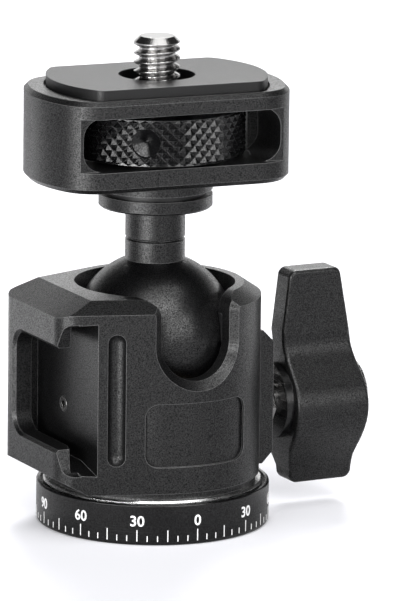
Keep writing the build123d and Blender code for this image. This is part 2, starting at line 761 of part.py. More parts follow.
with BuildPart() as camera_screw:
    with BuildSketch(Plane.XY.offset(wheel_bottom)):
        Circle(screw_shank_radius)
    extrude(amount=pad_top - screw_thread_start - wheel_bottom)
    with BuildSketch(Plane.XY.offset(pad_top - screw_thread_start)):
        Circle(quarter_thread_radius)
    extrude(amount=screw_rise + screw_thread_start)
    chamfer(camera_screw.edges().group_by(Axis.Z)[-1], screw_end_chamfer)
camera_screw.part.label = "camera_screw"
export_step(camera_screw.part, "parts/camera_screw.step")

# ================================================================ knob, shaft and plunger
lock_axis = Plane((0, 0, lock_height), x_dir=(0, 1, 0), z_dir=(1, 0, 0))

with BuildPart() as hex_bush:
    with BuildSketch(lock_axis.offset(boss_face_x)):
        RegularPolygon(hex_across_flats / 2, 6, major_radius=False)
    extrude(amount=hex_thickness)
    chamfer(hex_bush.edges().group_by(Axis.X)[-1], edge_break)
    with BuildSketch(lock_axis.offset(boss_face_x)):
        Circle(plunger_radius)
    extrude(amount=-bush_shank_length)
    with Locations(lock_axis.offset(hex_face_x)):
        Hole(lock_shaft_radius + thread_clearance, depth=hex_thickness + bush_shank_length)
hex_bush.part.label = "hex_bush"
export_step(hex_bush.part, "parts/hex_bush.step")

with BuildPart() as lock_plunger:
    with BuildSketch(Plane.XZ):
        with BuildLine():
            Polyline(
                (plunger_tip_x, lock_height),
                (plunger_tip_x, lock_height + plunger_tip_radius),
                (plunger_tip_x + plunger_radius - plunger_tip_radius, lock_height + plunger_radius),
                (plunger_back_x, lock_height + plunger_radius),
                (plunger_back_x, lock_height),
                close=True,
            )
        make_face()
    revolve(axis=Axis((0, 0, lock_height), (1, 0, 0)))
lock_plunger.part.label = "lock_plunger"
export_step(lock_plunger.part, "parts/lock_plunger.step")

knob_screw_seat = knob_outer_x - cap_seat - knob_screw_head_height
shaft_end_x = knob_screw_seat

with BuildPart() as knob_shaft:
    with BuildSketch(lock_axis.offset(plunger_back_x)):
        Circle(lock_shaft_radius)
    extrude(amount=shaft_end_x - plunger_back_x)
    with Locations(lock_axis.offset(shaft_end_x)):
        Hole(knob_screw_radius + thread_clearance, depth=knob_screw_length + knob_hole_spare)
knob_shaft.part.label = "knob_shaft"
export_step(knob_shaft.part, "parts/knob_shaft.step")

with BuildPart() as knob_collar:
    with BuildSketch(lock_axis.offset(collar_x)):
        Circle(collar_radius)
        Circle(lock_shaft_radius, mode=Mode.SUBTRACT)
    extrude(amount=collar_thickness)
knob_collar.part.label = "knob_collar"
export_step(knob_collar.part, "parts/knob_collar.step")

with BuildPart() as wing_knob:
    # outline seen from the front: long arm up, short arm down
    upper_z = lock_height + knob_upper_z
    lower_z = lock_height - knob_lower_z
    shoulder_top = lock_height + knob_shoulder_height
    shoulder_foot = lock_height - knob_shoulder_height
    upper_outer = (knob_upper_x + knob_upper_depth, upper_z)
    lower_outer = (knob_lower_x + knob_lower_depth, lower_z)
    with BuildSketch(Plane.XZ) as knob_side:
        with BuildLine():
            Polyline(
                upper_outer,
                (knob_upper_x, upper_z),
                (knob_inner_x - knob_seat_step, shoulder_top + knob_shoulder_rise),
                (knob_inner_x, shoulder_top),
                (knob_inner_x, shoulder_foot),
                (knob_lower_x, shoulder_foot - knob_shoulder_rise),
                (knob_lower_x, lower_z),
                lower_outer,
                (lower_outer[0], shoulder_foot - knob_face_round),
            )
            Spline(
                (lower_outer[0], shoulder_foot - knob_face_round),
                (knob_outer_x, lock_height),
                (knob_outer_x - knob_face_fall, shoulder_top + knob_shoulder_rise),
                upper_outer,
            )
        make_face()
        fillet(knob_side.vertices().group_by(Axis.Y)[-1], knob_tip_round)
        fillet(knob_side.vertices().group_by(Axis.Y)[0], knob_tip_round)
    extrude(amount=knob_hub_half_width + cut_over, both=True)
    # outline seen along the axis: thin arms that swell into the hub
    with BuildSketch(Plane.YZ):
        with BuildLine():
            arm_foot = (knob_upper_half_width, lock_height + knob_swell_top)
            arm_end = (knob_lower_half_width, lower_z - cut_over)
            Polyline((0, upper_z + cut_over), (knob_upper_half_width, upper_z + cut_over), arm_foot)
            swell = [(width, lock_height + rise) for rise, width in knob_swell_points]
            Spline(arm_foot, *swell[:2], (knob_hub_half_width, lock_height), *swell[2:], arm_end)
            Line(arm_end, (0, lower_z - cut_over))
            mirror(about=Plane.YZ)
        make_face()
    extrude(amount=knob_outer_x + cut_over, mode=Mode.INTERSECT)
    # both outlines, front and back, are rounded over
    front_outline = wing_knob.edges().filter_by_position(Axis.Y, -knob_hub_half_width - cut_over,
                                                         -knob_edge_round)
    back_outline = wing_knob.edges().filter_by_position(Axis.Y, knob_edge_round,
                                                        knob_hub_half_width + cut_over)
    fillet(front_outline + back_outline, knob_edge_round)
    with Locations(lock_axis.offset(knob_outer_x - cap_seat)):
        CounterBoreHole(lock_shaft_radius, knob_screw_head_radius + 2 * running_clearance,
                        knob_screw_head_height, depth=knob_outer_x)
    with BuildSketch(lock_axis.offset(knob_outer_x - cap_seat)):
        Circle(cap_radius + running_clearance)
    extrude(amount=cap_seat + cut_over, mode=Mode.SUBTRACT)
wing_knob.part.label = "wing_knob"
export_step(wing_knob.part, "parts/wing_knob.step")

with BuildPart() as knob_screw:
    with BuildSketch(lock_axis.offset(knob_screw_seat)):
        Circle(knob_screw_head_radius)
    extrude(amount=knob_screw_head_height)
    with BuildSketch(lock_axis.offset(knob_screw_seat)):
        Circle(knob_screw_radius)
    extrude(amount=-knob_screw_length)
    with BuildSketch(lock_axis.offset(knob_outer_x - cap_seat)):
        RegularPolygon(knob_screw_radius, 6)
    extrude(amount=-knob_screw_head_height / 2, mode=Mode.SUBTRACT)
knob_screw.part.label = "knob_screw"
export_step(knob_screw.part, "parts/knob_screw.step")

# slightly domed cap pressed into the hub's outer end
with BuildPart() as knob_cap:
    with BuildSketch(lock_axis.offset(knob_outer_x - cap_seat)):
        Circle(cap_radius)
    extrude(amount=cap_seat + cap_rise)
    fillet(knob_cap.edges().group_by(Axis.X)[-1], cap_edge_radius)
knob_cap.part.label = "knob_cap"
export_step(knob_cap.part, "parts/knob_cap.step")
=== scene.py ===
# %% [markdown]
# # Compact tripod ball head
#
# A camera screws onto the small 1/4 inch screw at the top. Below it sit a platform with a
# knurled thumb wheel, a ball on a neck, and a black barrel with a drop notch, an accessory
# shoe and a two-armed locking knob. The barrel turns on a base ring with an angle scale.
# The CAD model gives every solid its place. This file gives them their finish, and it
# remakes the pieces whose detail is too fine for the solids: the thread, the knurl and the
# marked scale.

# %% Load the solid model
from math import acos, cos, degrees, pi, radians, sin

import bmesh
import bpy
from mathutils import Matrix, Vector


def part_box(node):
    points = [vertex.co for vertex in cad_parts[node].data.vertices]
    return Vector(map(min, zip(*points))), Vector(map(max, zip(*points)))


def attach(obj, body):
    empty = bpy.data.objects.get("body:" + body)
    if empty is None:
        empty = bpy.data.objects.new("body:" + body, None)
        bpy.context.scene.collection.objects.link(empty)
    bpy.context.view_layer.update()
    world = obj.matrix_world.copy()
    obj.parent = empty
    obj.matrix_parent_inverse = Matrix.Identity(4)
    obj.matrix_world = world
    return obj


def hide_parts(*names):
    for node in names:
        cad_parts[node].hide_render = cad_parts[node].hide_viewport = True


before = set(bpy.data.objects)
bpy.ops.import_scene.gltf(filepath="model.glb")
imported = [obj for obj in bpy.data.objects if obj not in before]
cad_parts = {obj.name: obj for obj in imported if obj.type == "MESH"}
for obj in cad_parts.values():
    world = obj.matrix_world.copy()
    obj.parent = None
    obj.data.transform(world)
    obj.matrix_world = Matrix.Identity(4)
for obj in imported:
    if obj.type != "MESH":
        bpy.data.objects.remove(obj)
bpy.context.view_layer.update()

MM = 0.001
print("solids:", len(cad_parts))

# %% [markdown]
# ## The camera
#
# A long lens looks down on the head at a flat angle, from a little to the left of the drop
# notch, nearly a metre away. The camera stands on a sphere round a point in the middle of
# the head. Its direction is turned a touch, so that the head sits in the frame where it
# should without any lens shift, and it is rolled by half a degree.

# %% Camera
IMAGE_HEIGHT = 601
camera_azimuth = radians(-26.5)
camera_elevation = radians(12.445)
camera_distance = 0.89334
camera_roll = 0.0105
focal_pixels = 6487.0
look_right = 6.342 * MM
look_up = 0.796 * MM

level = Vector((cos(camera_azimuth), sin(camera_azimuth), 0))
back = Vector((
    sin(camera_azimuth) * cos(camera_elevation),
    -cos(camera_azimuth) * cos(camera_elevation),
    sin(camera_elevation),
))
above = back.cross(level)
middle = Vector((0, 0, 30 * MM))
eye = middle + camera_distance * back
aim = middle + look_right * level + look_up * above

view_back = (eye - aim).normalized()
view_right = above.cross(view_back).normalized()
view_up = view_back.cross(view_right)
right = cos(camera_roll) * view_right + sin(camera_roll) * view_up
up = cos(camera_roll) * view_up - sin(camera_roll) * view_right

camera = bpy.data.objects.new("camera", bpy.data.cameras.new("camera"))
bpy.context.scene.collection.objects.link(camera)
camera.matrix_world = Matrix((
    (right.x, up.x, view_back.x, eye.x),
    (right.y, up.y, view_back.y, eye.y),
    (right.z, up.z, view_back.z, eye.z),
    (0, 0, 0, 1),
))
camera.data.sensor_width = 36.0
camera.data.lens = camera.data.sensor_width * focal_pixels / IMAGE_HEIGHT
camera.data.clip_start = 0.05
camera.data.clip_end = 20.0
bpy.context.scene.camera = camera
print("lens in mm:", round(camera.data.lens, 1))

# %% [markdown]
# ## Writing node trees as sums
#
# Both materials and Geometry Nodes are trees of small nodes. Placing each one by hand hides
# the idea behind the wires, so one small class wraps an output socket and lets it be added,
# multiplied and compared like a number. One method makes every other kind of node.

# %% A socket that can be calculated with
class Wire:
    """An output socket. Arithmetic on it adds Math nodes to its tree."""

    def __init__(self, tree, socket):
        self.tree = tree
        self.socket = socket

    def math(self, operation, *values):
        return node(self.tree, "ShaderNodeMath", {"operation": operation}, dict(enumerate(values)))

    def __add__(self, other):
        return self.math("ADD", self, other)

    def __sub__(self, other):
        return self.math("SUBTRACT", self, other)

    def __rsub__(self, other):
        return self.math("SUBTRACT", other, self)

    def __mul__(self, other):
        return self.math("MULTIPLY", self, other)

    def __truediv__(self, other):
        return self.math("DIVIDE", self, other)

    def __mod__(self, other):
        return self.math("FLOORED_MODULO", self, other)

    def __lt__(self, other):
        return self.math("LESS_THAN", self, other)

    def __gt__(self, other):
        return self.math("GREATER_THAN", self, other)

    __radd__ = __add__
    __rmul__ = __mul__


def node(tree, kind, settings=None, inputs=None, output=0):
    """Adds one node, sets it up, wires its inputs and returns one of its outputs."""
    made = tree.nodes.new(kind)
    for name, value in (settings or {}).items():
        setattr(made, name, value)
    for name, value in (inputs or {}).items():
        if isinstance(value, Wire):
            tree.links.new(value.socket, made.inputs[name])
        else:
            made.inputs[name].default_value = value
    return Wire(tree, made.outputs[output])


trial = bpy.data.node_groups.new("trial", "ShaderNodeTree")
rest = 1 - node(trial, "ShaderNodeValue") * 0.5
print("1 - value * 0.5 ends in", rest.socket.node.operation, "after", len(trial.nodes), "nodes")
bpy.data.node_groups.remove(trial)

# %% [markdown]
# ## Grain
#
# Nearly everything on this head is aluminium that was blasted with fine glass beads and then
# anodised black. Bead blasting leaves a skin of tiny dents, under 0.2 mm across, that break
# the light up into a fine sparkle. Dents are far too small for geometry, and a painted
# picture of them would repeat and blur. A noise texture in each piece's own coordinates does
# neither, so every finish below starts from noise with a size in metres.

# %% Materials and noise
GRAIN = 0.17 * MM


def material(name, colour, metallic, roughness, specular=0.5):
    """A new material with its shader's constants set."""
    made = bpy.data.materials.new(name)
    made.use_nodes = True
    shader = made.node_tree.nodes["Principled BSDF"]
    shader.inputs["Base Color"].default_value = (*colour, 1)
    shader.inputs["Metallic"].default_value = metallic
    shader.inputs["Roughness"].default_value = roughness
    shader.inputs["Specular IOR Level"].default_value = specular
    return made, made.node_tree, shader


def feed(tree, shader, name, wire):
    """Wires a changing value into one of the shader's inputs."""
    tree.links.new(wire.socket, shader.inputs[name])


def noise(tree, size, detail=2.0, stretch=(1, 1, 1)):
    """Soft random spots about `size` metres across, from 0 to 1."""
    own_place = node(tree, "ShaderNodeTexCoord", output="Object")
    place = node(tree, "ShaderNodeMapping", inputs={"Vector": own_place, "Scale": stretch})
    return node(
        tree,
        "ShaderNodeTexNoise",
        inputs={"Vector": place, "Scale": 1 / size, "Detail": detail, "Roughness": 0.6},
    )


def spread(tree, value, low, high, margin=0.3):
    """Stretches a 0 to 1 noise, without its rare ends, over low to high."""
    ends = {"From Min": margin, "From Max": 1 - margin, "To Min": low, "To Max": high}
    return node(tree, "ShaderNodeMapRange", inputs={"Value": value, **ends})


print("grain in mm:", round(GRAIN / MM, 2))

# %% [markdown]
# ## Edges
#
# Tumbling and blasting take the sharpness off every edge. Cutting each round into the meshes
# would cost thousands of faces, so the Bevel node only turns the normal near an edge, by a
# fraction of a millimetre. The same node tells where the edges are: the more the rounded
# normal leaves the flat one, the lighter grey the base colour is painted there, as a painted
# highlight along the edge.

# %% Rounded edges and a painted edge highlight
# The grey painted on edges as a highlight, and how fast it comes in from the flat.
EDGE_HIGHLIGHT_GREY = (0.15, 0.15, 0.15)
BEVEL_SAMPLES = 6
EDGE_HIGHLIGHT_GAIN = 6


def blend(tree, factor, dark, light):
    """A colour that goes from dark to light as the factor goes from 0 to 1."""
    colours = {"Factor": factor, "A": (*dark, 1), "B": (*light, 1)}
    return node(tree, "ShaderNodeMix", {"data_type": "RGBA"}, colours, output=2)


def rounded_edges(tree, radius):
    """The surface's normal with every sharp edge rounded off."""
    return node(tree, "ShaderNodeBevel", {"samples": BEVEL_SAMPLES}, {"Radius": radius})


def painted_edge_highlight(tree, rounded):
    """1 on a sharp edge and 0 on the flat beside it: where the highlight is painted."""
    flat = node(tree, "ShaderNodeNewGeometry", output=1)
    along = node(
        tree, "ShaderNodeVectorMath", {"operation": "DOT_PRODUCT"}, {0: rounded, 1: flat}, output=1
    )
    return node(tree, "ShaderNodeClamp", inputs={"Value": (1 - along) * EDGE_HIGHLIGHT_GAIN})


def bump(tree, height, depth, rounded):
    """A normal that follows a height on top of the rounded edges."""
    return node(
        tree,
        "ShaderNodeBump",
        inputs={"Height": height, "Distance": depth, "Strength": 1.0, "Normal": rounded},
    )


# The painted edge highlight is full where the normal turns by this much.
full_edge_highlight = degrees(acos(1 - 1 / EDGE_HIGHLIGHT_GAIN))
print("an edge looks fully worn where its normal turns by degrees:", round(full_edge_highlight))

# %% [markdown]
# ## Black finishes
#
# Anodised black has two layers, a dark dye and a clear hard skin on top. The shader's base
# stands for the dye and its coat for the skin. On blasted pieces the coat comes and goes with
# the dents, which gives the sparkle without making the dye any lighter. Turned pieces carry
# the lathe's fine rings instead: the same noise, squeezed along X and Y until its spots
# become bands round Z.

# %% Blasted and turned black
def blasted_black(name, colour, roughness, depth, edge,
                  patch=4 * MM, stretch=(1, 1, 1), uneven=0.03):
    """Bead-blasted, black anodised aluminium. Its coat is the dye's skin, thin between dents."""
    made, tree, shader = material(name, colour, 0.0, roughness, specular=0.15)
    shader.inputs["Coat Roughness"].default_value = roughness
    shader.inputs["Coat IOR"].default_value = 1.6
    dents = noise(tree, GRAIN)
    patches = noise(tree, patch, detail=1.0, stretch=stretch)
    sheen = spread(tree, patches, roughness - uneven, roughness + uneven)
    feed(tree, shader, "Roughness", sheen)
    feed(tree, shader, "Coat Weight", spread(tree, dents, 0.0, 1.0, margin=0.34))
    rounded = rounded_edges(tree, edge)
    # The base colour goes from the dye to lighter grey along edges: a painted edge highlight.
    feed(tree, shader, "Base Color", blend(tree, painted_edge_highlight(tree, rounded), colour, EDGE_HIGHLIGHT_GREY))
    feed(tree, shader, "Normal", bump(tree, dents, depth, rounded))
    return made


def turned_black(name, colour, roughness, edge):
    """Black anodised aluminium as it comes off the lathe, with fine rings round Z."""
    made, tree, shader = material(name, colour, 0.0, roughness, specular=0.25)
    shader.inputs["Coat Roughness"].default_value = roughness
    feed(tree, shader, "Coat Weight", spread(tree, noise(tree, GRAIN), 0.0, 1.0))
    rings = noise(tree, 0.4 * MM, stretch=(0.02, 0.02, 1))
    feed(tree, shader, "Roughness", spread(tree, rings, roughness - 0.05, roughness + 0.05))
    feed(tree, shader, "Normal", bump(tree, rings, 0.004 * MM, rounded_edges(tree, edge)))
    return made


DEEP_BLACK = (0.002, 0.002, 0.0022)
SATIN_BLACK = (0.003, 0.003, 0.0032)
DENT_DEPTH = 0.06 * MM

body_black = blasted_black("body_black", SATIN_BLACK, 0.34, DENT_DEPTH, 0.14 * MM)
ball_black = blasted_black("ball_black", DEEP_BLACK, 0.28, DENT_DEPTH, 0.1 * MM)
knob_black = blasted_black("knob_black", SATIN_BLACK, 0.34, DENT_DEPTH, 0.25 * MM,
                           patch=0.9 * MM, stretch=(0.12, 0.12, 1), uneven=0.12)
ring_black = turned_black("ring_black", DEEP_BLACK, 0.24, 0.12 * MM)
wheel_black = blasted_black("wheel_black", DEEP_BLACK, 0.18, 0.01 * MM, 0.02 * MM)
print("black finishes:", [made.name for made in bpy.data.materials])

# %% [markdown]
# ## Bare metal, plastic and rubber
#
# The screws, the bearing ring and the knob's cap are bare. A cutting tool leaves dull and
# bright strokes on them, so their noise drives the roughness. The washers are acetal and the
# pad is rubber: both come out of a mould with an even grain, which only needs a bump.

# %% Bare metal and mouldings
def bare_metal(name, colour, roughness, edge, stretch=(1, 1, 1)):
    """Machined metal: dull and bright strokes along the cut."""
    made, tree, shader = material(name, colour, 1.0, roughness)
    strokes = noise(tree, 0.25 * MM, stretch=stretch)
    feed(tree, shader, "Roughness", spread(tree, strokes, roughness * 0.75, roughness * 1.3))
    feed(tree, shader, "Normal", bump(tree, strokes, 0.003 * MM, rounded_edges(tree, edge)))
    return made


def moulded(name, colour, roughness, grain, depth, edge):
    """Plastic or rubber with an even moulded grain."""
    made, tree, shader = material(name, colour, 0.0, roughness, specular=0.4)
    feed(tree, shader, "Normal", bump(tree, noise(tree, grain), depth, rounded_edges(tree, edge)))
    return made


pad_rubber = moulded("pad_rubber", (0.004, 0.004, 0.0042), 0.3, GRAIN, 0.04 * MM, 0.2 * MM)
stainless = bare_metal("stainless", (0.45, 0.445, 0.44), 0.2, 0.06 * MM)
polished = bare_metal("polished", (0.8, 0.8, 0.8), 0.26, 0.05 * MM, stretch=(0.1, 0.1, 1))
spring_steel = bare_metal("spring_steel", (0.45, 0.45, 0.46), 0.25, 0.05 * MM)
bearing_brass = bare_metal("bearing_brass", (0.72, 0.53, 0.25), 0.25, 0.08 * MM)
acetal = moulded("acetal", (0.012, 0.012, 0.0125), 0.35, 0.3 * MM, 0.003 * MM, 0.08 * MM)
print("materials:", len(bpy.data.materials))

# %% Give each solid its finish
finished = 0
for finish, names in (
    (body_black, "housing platform_body"),
    (ring_black, "base_plate floor_plate knob_collar"),
    (ball_black, "ball_stem"),
    (knob_black, "wing_knob"),
    (wheel_black, "thumb_wheel"),
    (pad_rubber, "top_pad"),
    (polished, "pan_ring knob_cap"),
    (stainless, "camera_screw thread_bush hex_bush shoe_screw stem_screw knob_screw"),
    (stainless, "knob_shaft lock_plunger"),
    (spring_steel, "cup_spring"),
    (bearing_brass, "pan_nut ball_cup"),
    (acetal, "pan_washer seat_ring ball_liner flange_washer wheel_washer"),
):
    for name in names.split():
        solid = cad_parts[name]
        solid.data.materials.clear()
        solid.data.materials.append(finish)
        finished += 1
print("finished solids:", finished, "of", len(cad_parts))

# %% [markdown]
# ## Turned blanks
#
# Round pieces start on a lathe, and here as a profile that is swept round the axis. A Screw
# modifier could sweep it, but an explicit grid of rings and columns is just as short, and a
# later step can tell which ring and which column each of its points is on.

# %% Turn a blank
def new_object(name, data):
    """A new object in the scene, at the origin."""
    made = bpy.data.objects.new(name, data)
    bpy.context.scene.collection.objects.link(made)
    return made


def turned(name, profile, columns):
    """A closed solid of revolution round Z from (radius, height) in mm, axis to axis."""
    mesh = bmesh.new()
    corners = [(2 * pi * i / columns) for i in range(columns)]
    foot = mesh.verts.new((0, 0, profile[0][1] * MM))
    rings = [
        [mesh.verts.new((r * MM * cos(a), r * MM * sin(a), height * MM)) for a in corners]
        for r, height in profile
    ]
    head = mesh.verts.new((0, 0, profile[-1][1] * MM))
    for i in range(columns):
        j = (i + 1) % columns
        mesh.faces.new((foot, rings[0][j], rings[0][i]))
        for low, high in zip(rings, rings[1:]):
            mesh.faces.new((low[i], low[j], high[j], high[i]))
        mesh.faces.new((head, rings[-1][i], rings[-1][j]))
    data = bpy.data.meshes.new(name)
    mesh.to_mesh(data)
    mesh.free()
    print(name, "blank has", len(data.polygons), "faces")
    return new_object(name, data)


# %% [markdown]
# ## Recipes for repeats
#
# Thread, knurl and scale are all one small feature repeated by a rule. Each is a Geometry
# Nodes tree with named inputs, so the rule is written once and the sizes are handed to it.
# It is baked onto its blank as soon as the inputs are set, and the piece keeps only the plain
# mesh that comes out.

# %% Make, end and bake a recipe
def recipe(name, inputs):
    """An empty Geometry Nodes tree with named number inputs and one material input."""
    tree = bpy.data.node_groups.new(name, "GeometryNodeTree")
    tree.interface.new_socket("Geometry", in_out="INPUT", socket_type="NodeSocketGeometry")
    for label in inputs:
        tree.interface.new_socket(label, in_out="INPUT", socket_type="NodeSocketFloat")
    tree.interface.new_socket("Material", in_out="INPUT", socket_type="NodeSocketMaterial")
    tree.interface.new_socket("Geometry", in_out="OUTPUT", socket_type="NodeSocketGeometry")
    entry = tree.nodes.new("NodeGroupInput")
    return tree, {socket.name: Wire(tree, socket) for socket in entry.outputs if socket.name}


def serve(tree, geometry, finish):
    """Ends a recipe: real geometry, one material, out."""
    solid = node(tree, "GeometryNodeRealizeInstances", inputs={"Geometry": geometry})
    painted = node(
        tree, "GeometryNodeSetMaterial", inputs={"Geometry": solid, "Material": finish}
    )
    tree.links.new(painted.socket, tree.nodes.new("NodeGroupOutput").inputs["Geometry"])
    print("recipe", tree.name, "has", len(tree.nodes), "nodes")


def bake(target, tree, values):
    """Runs a recipe on an object with the given inputs and keeps the resulting mesh."""
    modifier = target.modifiers.new(tree.name, "NODES")
    modifier.node_group = tree
    for item in tree.interface.items_tree:
        if item.item_type == "SOCKET" and item.in_out == "INPUT" and item.name in values:
            modifier[item.identifier] = values[item.name]
    evaluated = target.evaluated_get(bpy.context.evaluated_depsgraph_get())
    mesh = bpy.data.meshes.new_from_object(evaluated)
    target.modifiers.remove(modifier)
    target.data = mesh
    print(target.name, "has", len(mesh.polygons), "faces")
    return target


def piece(made, body, slot, *replaced):
    """Hands a finished piece to its body, in place of solids of the CAD model."""
    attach(made, body)
    if replaced:
        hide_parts(*replaced)


# %% [markdown]
# ## Camera screw
#
# A 1/4 inch-20 screw of stainless steel, cut with a die after its end was chamfered. A thread
# could be a triangle swept along a helix and cut from the rod, which is slow and leaves
# slivers. Instead each point on the blank moves inward by an amount that depends only on how
# far it is from the crest of the helix, so one formula gives the whole thread. Its groove
# runs out before the plain, chamfered tip. A right-hand thread climbs by one pitch for each
# turn against the clock.

# %% Helpers for points round an axis
def position_parts(tree):
    """Each point's place, and its X, Y and Z."""
    place = node(tree, "GeometryNodeInputPosition")
    parts = [
        node(tree, "ShaderNodeSeparateXYZ", inputs={"Vector": place}, output=i) for i in range(3)
    ]
    return place, *parts


def polar(tree, x, y):
    """Each point's distance from Z and its angle round Z."""
    radius = node(tree, "ShaderNodeMath", {"operation": "POWER"}, {0: x * x + y * y, 1: 0.5})
    turn = node(tree, "ShaderNodeMath", {"operation": "ARCTAN2"}, {0: y, 1: x})
    return radius, turn


def push_outward(tree, geometry, selection, place, radius, distance):
    """Moves selected points along their radius by a distance."""
    flat = node(tree, "ShaderNodeVectorMath", {"operation": "MULTIPLY"}, {0: place, 1: (1, 1, 0)})
    offset = node(
        tree, "ShaderNodeVectorMath", {"operation": "SCALE"}, {0: flat, "Scale": distance / radius}
    )
    return node(
        tree,
        "GeometryNodeSetPosition",
        inputs={"Geometry": geometry, "Selection": selection, "Offset": offset},
    )


# %% Thread recipe
thread, given = recipe("thread", (
    "Radius", "Pitch", "Crest height", "Depth", "Crest width", "Flank run",
    "Start", "End", "Run-out",
))
place, x, y, z = position_parts(thread)
radius, turn = polar(thread, x, y)
phase = ((z - given["Crest height"]) / given["Pitch"] - turn / (2 * pi)) % 1.0
from_crest = phase.math("MINIMUM", phase, 1 - phase) * given["Pitch"]
sunk = (from_crest - given["Crest width"] / 2) / given["Flank run"]
fading = node(thread, "ShaderNodeClamp", inputs={"Value": (given["End"] - z) / given["Run-out"]})
depth = node(thread, "ShaderNodeClamp", inputs={"Value": sunk}) * given["Depth"] * fading
root = given["Radius"] - depth
inward = radius.math("MINIMUM", radius, root) - radius
cut = push_outward(thread, given["Geometry"], z > given["Start"], place, radius, inward)
serve(thread, cut, given["Material"])

# %% Cut the thread
THREAD_RADIUS = 3.175
THREAD_PITCH = 25.4 / 20
THREAD_LENGTH = 6.35
SHANK_RADIUS = 2.95
TIP_RADIUS = 2.38
PLAIN_TIP = 0.85
THREAD_COLUMNS = 64
THREAD_STEPS = 96

screw_low, screw_high = (corner[2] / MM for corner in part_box("camera_screw"))
shank_top = screw_high - THREAD_LENGTH
profile = [(SHANK_RADIUS, screw_low), (SHANK_RADIUS, shank_top)]
for step in range(THREAD_STEPS + 1):
    height = shank_top + (screw_high - shank_top) * step / THREAD_STEPS
    profile.append((min(THREAD_RADIUS, TIP_RADIUS + screw_high - height), height))
screw = turned("threaded_camera_screw", profile, THREAD_COLUMNS)
bake(screw, thread, {
    "Radius": THREAD_RADIUS * MM,
    "Pitch": THREAD_PITCH * MM,
    "Crest height": 66.1435 * MM,
    "Depth": 0.74 * MM,
    "Crest width": 0.2 * MM,
    "Flank run": 0.38 * MM,
    "Start": (shank_top + 0.01) * MM,
    "End": (screw_high - PLAIN_TIP) * MM,
    "Run-out": 0.35 * MM,
    "Material": stainless,
})
piece(screw, "wheel", "stainless", "camera_screw")

# %% [markdown]
# ## Thumb wheel
#
# The wheel that drives the camera screw shows through the platform's long window. Its rim
# has a diamond knurl: two sets of crossed 45 degree grooves that leave small pyramids. A
# Boolean cut for each groove would be slow and ragged. The blank's rim is a grid of points
# half a groove apart instead. Sinking every second point, and splitting each square along
# the line that joins two sunk points, gives exactly such pyramids. Three blind holes take a
# pin when fingers don't have enough grip.

# %% Knurl recipe
knurl, given = recipe("knurl", (
    "Radius", "Half grooves round", "Foot", "Row height", "Rows", "Depth",
))
place, x, y, z = position_parts(knurl)
radius, turn = polar(knurl, x, y)
column_exact = turn / (2 * pi) * given["Half grooves round"]
column = column_exact.math("ROUND", column_exact)
row_exact = (z - given["Foot"]) / given["Row height"]
row = row_exact.math("ROUND", row_exact)
odd = ((column + row) % 2.0) > 0.5
in_rows = (row_exact > -0.1) * (row_exact < given["Rows"] + 0.1)
on_rim = (radius > given["Radius"] * 0.999) * in_rows
sunk = push_outward(
    knurl, given["Geometry"], odd * on_rim, place, radius, given["Depth"] * -1
)
cut = node(
    knurl, "GeometryNodeTriangulate", {"quad_method": "SHORTEST_DIAGONAL"}, {"Mesh": sunk}
)
serve(knurl, cut, given["Material"])

# %% Roll the knurl
WHEEL_RADIUS = 12.3
WHEEL_BOTTOM, WHEEL_TOP, HUB_TOP = 51.85, 58.15, 59.65
WHEEL_CHAMFER = 0.35
HUB_RADIUS, HUB_CHAMFER = 4.9, 0.2
KNURL_ROWS = 7
ROW_HEIGHT = 0.8
HALF_GROOVES = 96

knurl_foot = (WHEEL_BOTTOM + WHEEL_TOP - KNURL_ROWS * ROW_HEIGHT) / 2
wheel = turned("knurled_wheel", [
    (9.0, WHEEL_BOTTOM),
    (WHEEL_RADIUS - WHEEL_CHAMFER, WHEEL_BOTTOM),
    *((WHEEL_RADIUS, knurl_foot + ROW_HEIGHT * row) for row in range(KNURL_ROWS + 1)),
    (WHEEL_RADIUS - WHEEL_CHAMFER, WHEEL_TOP),
    (HUB_RADIUS, WHEEL_TOP),
    (HUB_RADIUS, HUB_TOP - HUB_CHAMFER),
    (HUB_RADIUS - HUB_CHAMFER, HUB_TOP),
], HALF_GROOVES)
bake(wheel, knurl, {
    "Radius": WHEEL_RADIUS * MM,
    "Half grooves round": float(HALF_GROOVES),
    "Foot": knurl_foot * MM,
    "Row height": ROW_HEIGHT * MM,
    "Rows": float(KNURL_ROWS),
    "Depth": 0.42 * MM,
    "Material": wheel_black,
})

# %% Drill the holes
PIN_HOLES = 3
FIRST_HOLE = -123
DRILL = ((0.15, -2.3), (1.95, -1.1), (2.0, -0.3), (2.35, 0.15), (2.35, 1.0))
DRILL_COLUMNS = 48
OVERSHOOT = 1


def drilled(target, cutters):
    """Cuts closed shapes out of a piece."""
    for cutter in cutters:
        cut = target.modifiers.new("cut", "BOOLEAN")
        cut.operation = "DIFFERENCE"
        cut.solver = "EXACT"
        cut.object = cutter
    evaluated = target.evaluated_get(bpy.context.evaluated_depsgraph_get())
    target.data = bpy.data.meshes.new_from_object(evaluated)
    target.modifiers.clear()
    for cutter in cutters:
        bpy.data.objects.remove(cutter)
    print(target.name, "has", len(target.data.polygons), "faces once drilled")


